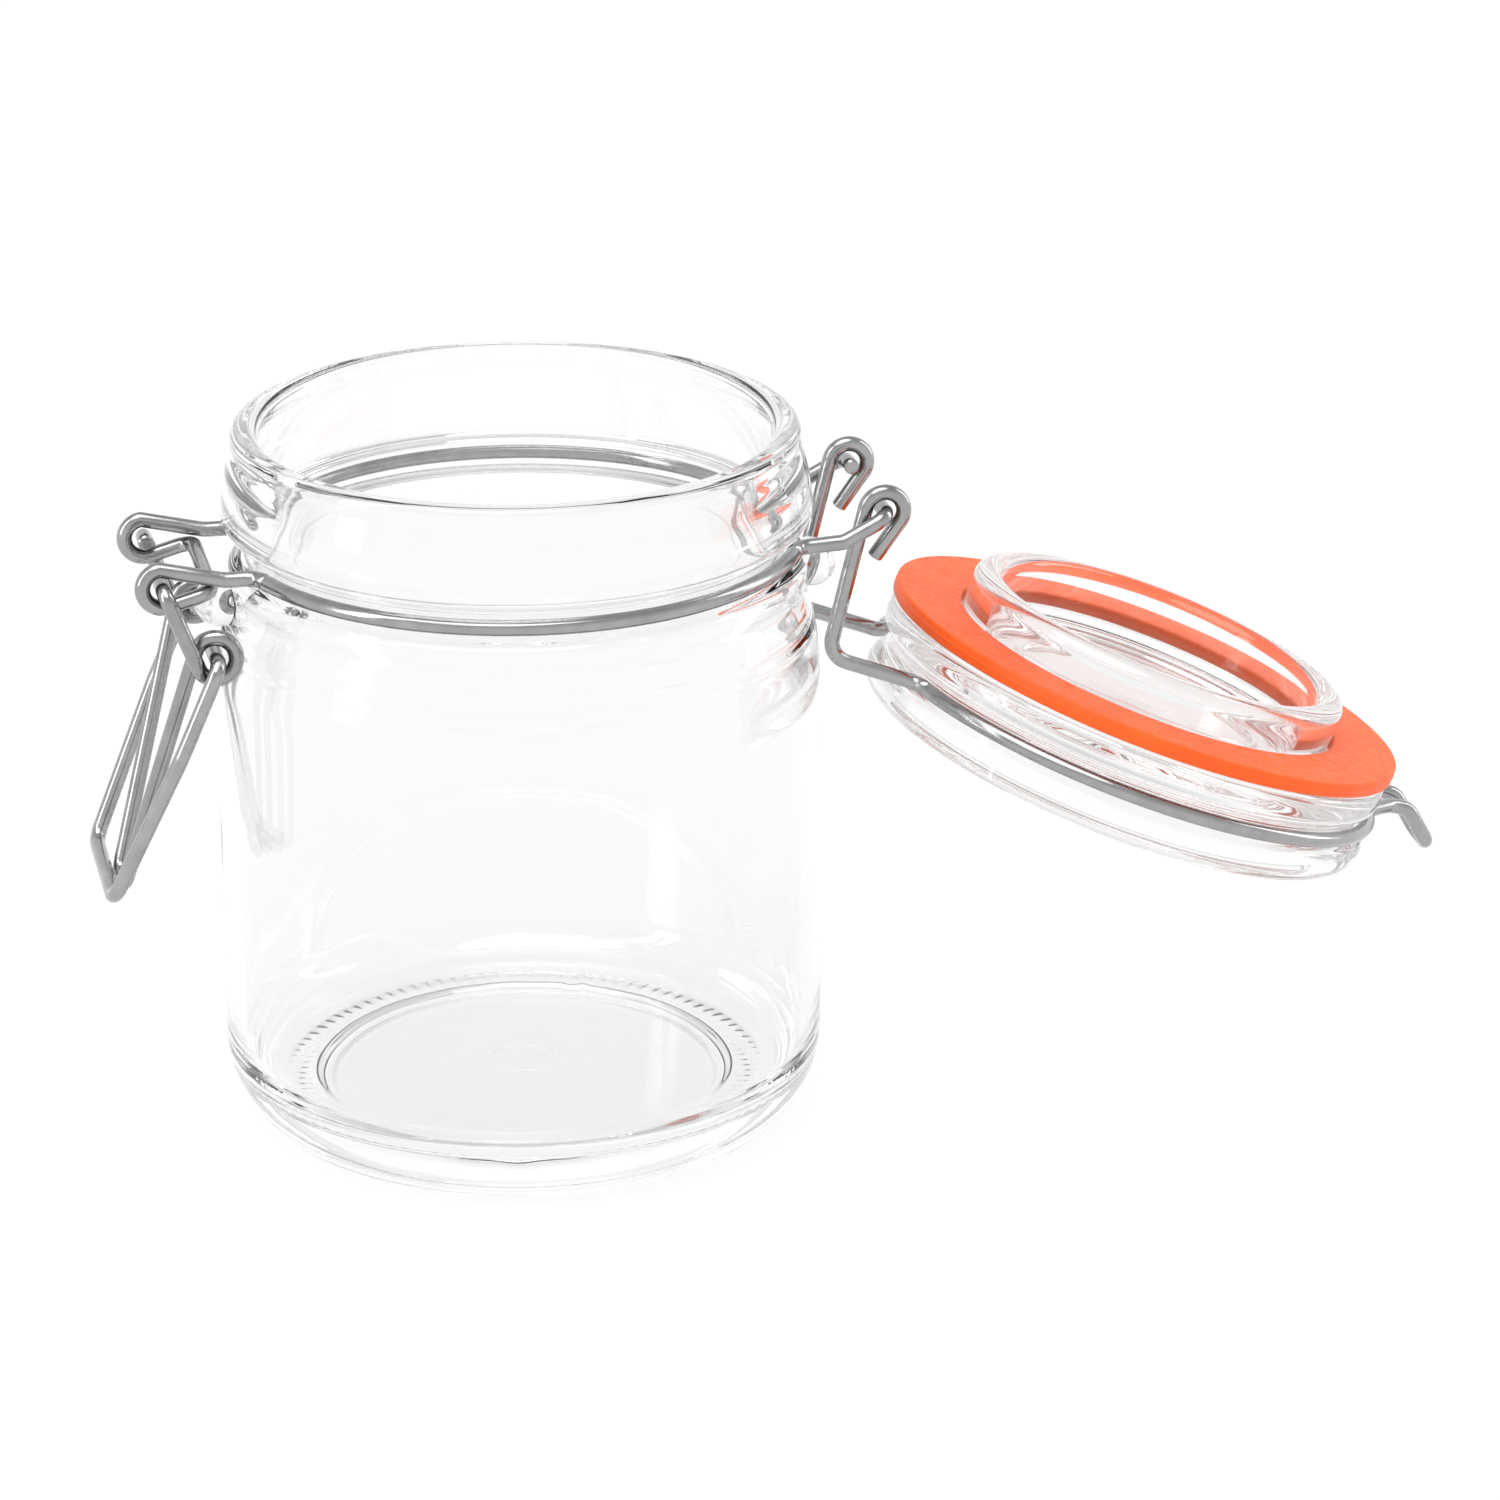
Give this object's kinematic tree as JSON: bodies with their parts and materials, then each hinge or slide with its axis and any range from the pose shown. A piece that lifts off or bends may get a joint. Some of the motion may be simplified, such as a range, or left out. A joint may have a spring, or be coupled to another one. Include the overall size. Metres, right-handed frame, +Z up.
{
  "type": "bail clamp jar",
  "caption": "Clear glass storage jar with a hinged glass lid, orange rubber gasket and a wire bail clamp, shown open.",
  "frame": {"origin": "on the standing plane, under the centre of the bounding box with the lid open", "axes": "+Z up; +X from the clamp towards the hinge and the open lid; Y along the hinge axis"},
  "size_m": [0.2137, 0.093, 0.1106],
  "materials": {
    "jar_glass": "clear polished glass",
    "lid_glass": "clear polished glass",
    "gasket_rubber": "smooth matt orange rubber",
    "neck_wire_steel": "bright drawn wire",
    "lid_wire_steel": "bright drawn wire",
    "lever_wire_steel": "bright drawn wire",
    "closing_loop_steel": "bright drawn wire"
  },
  "bodies": {
    "jar": {"jar_glass": "jar_glass", "neck_wire": "neck_wire_steel"},
    "lid": {"lid_glass": "lid_glass", "gasket": "gasket_rubber", "lid_wire": "lid_wire_steel"},
    "lever": {"lever_wire": "lever_wire_steel"},
    "loop": {"closing_loop": "closing_loop_steel"}
  },
  "joints": [
    {"name": "lid_hinge", "type": "hinge", "parent": "jar", "child": "lid", "pos_m": [0.0135, 0, 0.0965], "axis": [0, 1, 0], "range_deg": [-201, 0]},
    {"name": "lever_pivot", "type": "hinge", "parent": "jar", "child": "lever", "pos_m": [-0.0966, 0, 0.0918], "axis": [0, 1, 0], "range_deg": [-4, 175]},
    {"name": "loop_pivot", "type": "hinge", "parent": "lever", "child": "loop", "pos_m": [-0.0891, 0, 0.0808], "axis": [0, 1, 0], "range_deg": [0, 159.9]}
  ]
}
